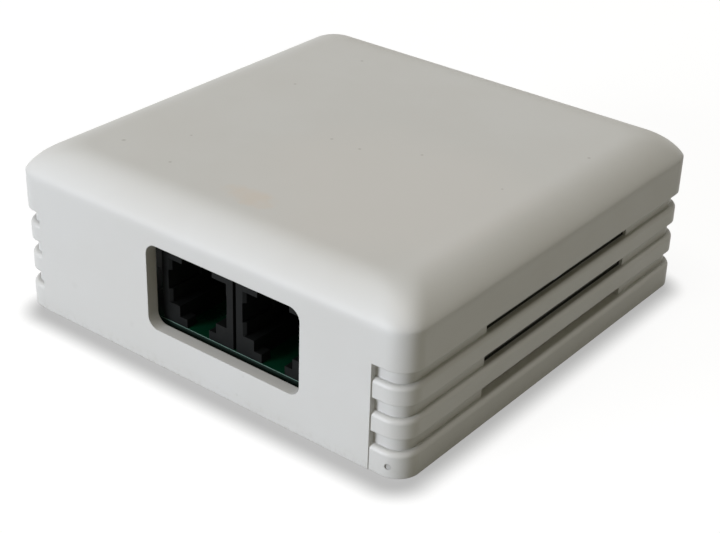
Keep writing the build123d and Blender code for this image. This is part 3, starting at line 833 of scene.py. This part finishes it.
def findPads(look):  # the outlines of the parts' feet on the board
    chip, diodes = boxes["bus_chip"][0], boxes["surge_diodes"]
    length = look["footLength"]
    wireY = jacks[0][1].y - look["jackInset"]
    wires = boxes["left_contact_wires"] + boxes["right_contact_wires"]
    leads = enumerate(boxes["surge_diode_leads"])
    return {
        "capacitor": boxes["capacitor_ends"],
        "resistor": boxes["resistor_ends"],
        "chip": [footOf(lead, chip, length) for lead in boxes["bus_chip_leads"]],
        "diode": [footOf(lead, diodes[number // 2], length) for number, lead in leads],
        "sensor": boxes["sensor_leads"],
        "jack": [(Vector((low.x, wireY)), Vector((high.x, wireY))) for low, high in wires],
    }


def addFillet(shape, part, pad, rise, look):  # solder from the pad's outline up to the part's
    inner = grown(part, 0, 0, 0)
    waistShare, waistRise = look["waist"]
    stages = ((0.0, 0.0), (0.0, look["padHeight"]), (waistShare, rise * waistRise), (1.0, rise))
    rings = []
    for share, height in stages:
        low, high = [start.lerp(end, share) for start, end in zip(pad, inner)]
        rings.append(roundedOutline(low, high, look["corner"], boardTop + height))
    addSkin(shape, rings)


def makeSolder(vias, look):
    shape = bmesh.new()
    outwards, inwards, along = look["endGrow"]
    for kind in ("capacitor", "resistor"):
        for number, end in enumerate(pads[kind]):
            left, right = (inwards, outwards) if number % 2 else (outwards, inwards)
            rise = (end[1].z - end[0].z) * look["endRise"]
            addFillet(shape, end, grown(end, left, right, along), rise, look)
    outwards, along = look["footGrow"]
    for foot in pads["chip"] + pads["diode"]:
        addFillet(shape, foot, grown(foot, outwards, outwards, along), look["footRise"], look)
    for lead in pads["sensor"]:
        for face, way in ((boardTop, 1), (boardLow.z, -1)):
            levels = [(radius, face + way * height) for radius, height in look["cone"]]
            addSkin(shape, [circleOutline(middleOf(lead), radius, level) for radius, level in levels])
    beyond, under = look["screwRing"]
    for low, high in boxes["board_screws"]:
        radius = (high.x - low.x) / 2
        addRing(shape, middleOf((low, high)), radius + beyond, radius - under, look["padHeight"])
    for via in vias:
        addRing(shape, via, *look["via"])
    newPiece("boardSolder", shape, finishes["tinned_metal"])


# Copper runs under the lacquer, from pad to pad and to small plated holes
wiringLook = {
    "width": 0.32,
    "height": 0.022,
    "links": [  # from a pad to a pad, by kind and number
        ("jack", 0, "capacitor", 5), ("jack", 1, "chip", 4), ("jack", 2, "diode", 0),
        ("jack", 3, "diode", 1), ("jack", 4, "diode", 2), ("jack", 5, "diode", 3),
        ("chip", 0, "capacitor", 2), ("chip", 1, "capacitor", 1), ("chip", 2, "resistor", 1),
        ("chip", 3, "resistor", 2), ("chip", 6, "resistor", 6), ("chip", 7, "resistor", 5),
    ],
    "ends": [  # from a pad to a plated hole, so far away
        ("capacitor", 0, (-2.6, 1.2)), ("capacitor", 3, (0.9, 2.3)), ("capacitor", 4, (-0.9, -2.2)),
        ("resistor", 0, (-2.4, -1.4)), ("resistor", 3, (0.9, 2.2)), ("resistor", 4, (-0.9, 2.2)),
        ("resistor", 7, (2.2, -1.0)), ("chip", 5, (1.9, 0.0)), ("diode", 3, (2.6, 2.2)),
        ("diode", 2, (-1.2, 2.8)),
    ],
    "sensorWays": [  # round the heat-break slots, measured from the sensor's middle
        [(0, -1.27), (-1.9, -1.27), (-3.75, -3.12), (-4.7, -4.05), (-8.1, -4.05)],
        [(0, 1.27), (-1.9, 1.27), (-3.75, 3.12), (-4.7, 4.05), (-9.6, 4.05)],
    ],
}


def planRuns(look):  # the runs' points, and where the plated holes are
    runs, vias = [], []
    for kindA, numberA, kindB, numberB in look["links"]:
        runs.append(dogleg(middleOf(pads[kindA][numberA]).to_2d(), middleOf(pads[kindB][numberB]).to_2d()))
    for kind, number, away in look["ends"]:
        start = middleOf(pads[kind][number]).to_2d()
        vias.append(start + Vector(away))
        runs.append(dogleg(start, vias[-1]))
    sensorMiddle = middleOf(pads["sensor"][1]).to_2d()
    for way in look["sensorWays"]:
        runs.append([sensorMiddle + Vector(point) for point in way])
        vias.append(runs[-1][-1])
    return runs, vias


def makeCopper(runs, look):
    shape = bmesh.new()
    for run in runs:
        addStrip(shape, run, look["width"], boardTop, boardTop + look["height"])
    newPiece("boardCopper", shape, boardLacquer("coatedCopper", copperLook))


# Printed outlines round the parts, without any lettering
printLook = {
    "width": 0.15, "height": 0.035, "away": 0.35, "dot": 0.22,
    "band": 0.42, "bandInset": 0.12, "bandHeight": 0.01,  # on top of the diodes
}


def printPart(shape, box, look, openEnds=False):  # lines round a part, or only in front of and behind it
    low, high = grown(box, look["away"], look["away"], look["away"])
    floor, top = boardTop, boardTop + look["height"]
    for y in (low.y, high.y):
        if y > boardLow.y:  # a line beyond the board's edge is left out
            addStrip(shape, [(low.x, y), (high.x, y)], look["width"], floor, top)
    low.y = max(low.y, boardLow.y + look["away"])
    if not openEnds:
        for x in (low.x, high.x):
            addStrip(shape, [(x, low.y), (x, high.y)], look["width"], floor, top)


def makePrint(look):
    shape = bmesh.new()
    printPart(shape, (jacks[0][0], jacks[1][1]), look)
    for node in ("capacitors", "resistors", "bus_chip", "surge_diodes"):
        for box in boxes[node]:
            printPart(shape, box, look, openEnds=True)
    pinOne = pads["chip"][3]  # the rear one of the left row
    spot = (middleOf(pinOne).x, pinOne[1].y + 2 * look["away"])
    addSkin(shape, [circleOutline(spot, look["dot"], boardTop + height) for height in (0, look["height"])])
    for low, high in boxes["surge_diodes"]:
        x = low.x + look["band"]
        ends = [(x, low.y + look["bandInset"]), (x, high.y - look["bandInset"])]
        addStrip(shape, ends, look["band"], high.z, high.z + look["bandHeight"])
    newPiece("boardPrint", shape, markingInk(inkLook))


pads = findPads(solderLook)
copperRuns, platedHoles = planRuns(wiringLook)
makeCopper(copperRuns, wiringLook)
makeSolder(platedHoles, solderLook)
makePrint(printLook)
print("board dressed:", len(copperRuns), "copper runs,", len(platedHoles), "plated holes")

# Board screws: pan heads with a cross recess and a thread
screwLook = {
    "head": (  # from the board up: shares of the head's radius and height
        (0.985, 0.0), (1.0, 0.08), (1.0, 0.42), (0.95, 0.62),
        (0.82, 0.80), (0.60, 0.93), (0.30, 0.99), (0.02, 1.0),
    ),
    "cross": ((0.72, 2.7), (0.42, 1.0)),  # width and length of the recess at its top and at its floor
    "crossDepth": 0.95,
    "shank": 1.1,  # outer and inner radius of the thread, and its pitch
    "threadRoot": 0.84,
    "threadPitch": 0.7,
    "tip": 1.0,  # length of the bare tip, and its radius at the end
    "point": 0.05,
    "sides": 40,
}


def screwRings(box, look):  # from the point, up the thread, to the top of the head
    low, high = box
    tipStart = low.z + look["tip"]
    profile = [(look["point"], low.z)]
    for turn in range(int((boardTop - tipStart) / look["threadPitch"])):
        height = tipStart + turn * look["threadPitch"]
        profile += [(look["threadRoot"], height), (look["shank"], height + look["threadPitch"] / 2)]
    headRadius, headHeight = (high.x - low.x) / 2, high.z - boardTop
    profile += [(headRadius * share, boardTop + headHeight * rise) for share, rise in look["head"]]
    return [circleOutline(middleOf(box), radius, height, look["sides"]) for radius, height in profile]


def crossOutline(centre, width, length, height):
    near, far = width / 2, length / 2
    points = []
    for quarter in range(4):
        turn = Matrix.Rotation(math.pi / 2 * quarter, 2)
        points += [turn @ Vector(corner) for corner in ((far, near), (near, near), (near, far))]
    return [(centre[0] + point.x, centre[1] + point.y, height) for point in points]


def makeScrews(look):
    screws, recesses = bmesh.new(), bmesh.new()
    for box in boxes["board_screws"]:
        addSkin(screws, screwRings(box, look))
        levels = (box[1].z + proud, box[1].z - look["crossDepth"])
        crosses = [crossOutline(middleOf(box), *size, level) for size, level in zip(look["cross"], levels)]
        addSkin(recesses, crosses)
    piece = newPiece("boardScrews", screws, finishes["screw_steel"])
    cutAway(piece, recesses)
    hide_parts("board_screws")


# Moulded packages: drafted sides that meet at the leads, and a dimple at one corner of the chip
packageLook = {
    "draft": 0.13, "corner": 0.08,
    "seam": 0.06,  # half the height of the upright band at the leads
    "dimple": 0.32, "dimpleDepth": 0.09, "dimpleInset": 0.85,
}


def makePackages(name, node, look):
    shape = bmesh.new()
    for box in boxes[node]:
        low, high = box[0].z, box[1].z
        middle = (low + high) / 2
        levels = (
            (look["draft"], low), (0.0, middle - look["seam"]),
            (0.0, middle + look["seam"]), (look["draft"], high),
        )
        rings = [
            roundedOutline(*grown(box, -inset, -inset, -inset), look["corner"], height)
            for inset, height in levels
        ]
        addSkin(shape, rings)
    piece = newPiece(name, shape, finishes["package_plastic"])
    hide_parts(node)
    return piece


def dimpleChip(piece, look):
    low, high = boxes["bus_chip"][0]
    spot = (low.x + look["dimpleInset"], high.y - look["dimpleInset"])
    dimple = bmesh.new()
    levels = (high.z - look["dimpleDepth"], high.z + proud)
    addSkin(dimple, [circleOutline(spot, look["dimple"], level) for level in levels])
    cutAway(piece, dimple)


makeScrews(screwLook)
dimpleChip(makePackages("chipBody", "bus_chip", packageLook), packageLook)
makePackages("diodeBodies", "surge_diodes", packageLook)
print("screws and packages made")
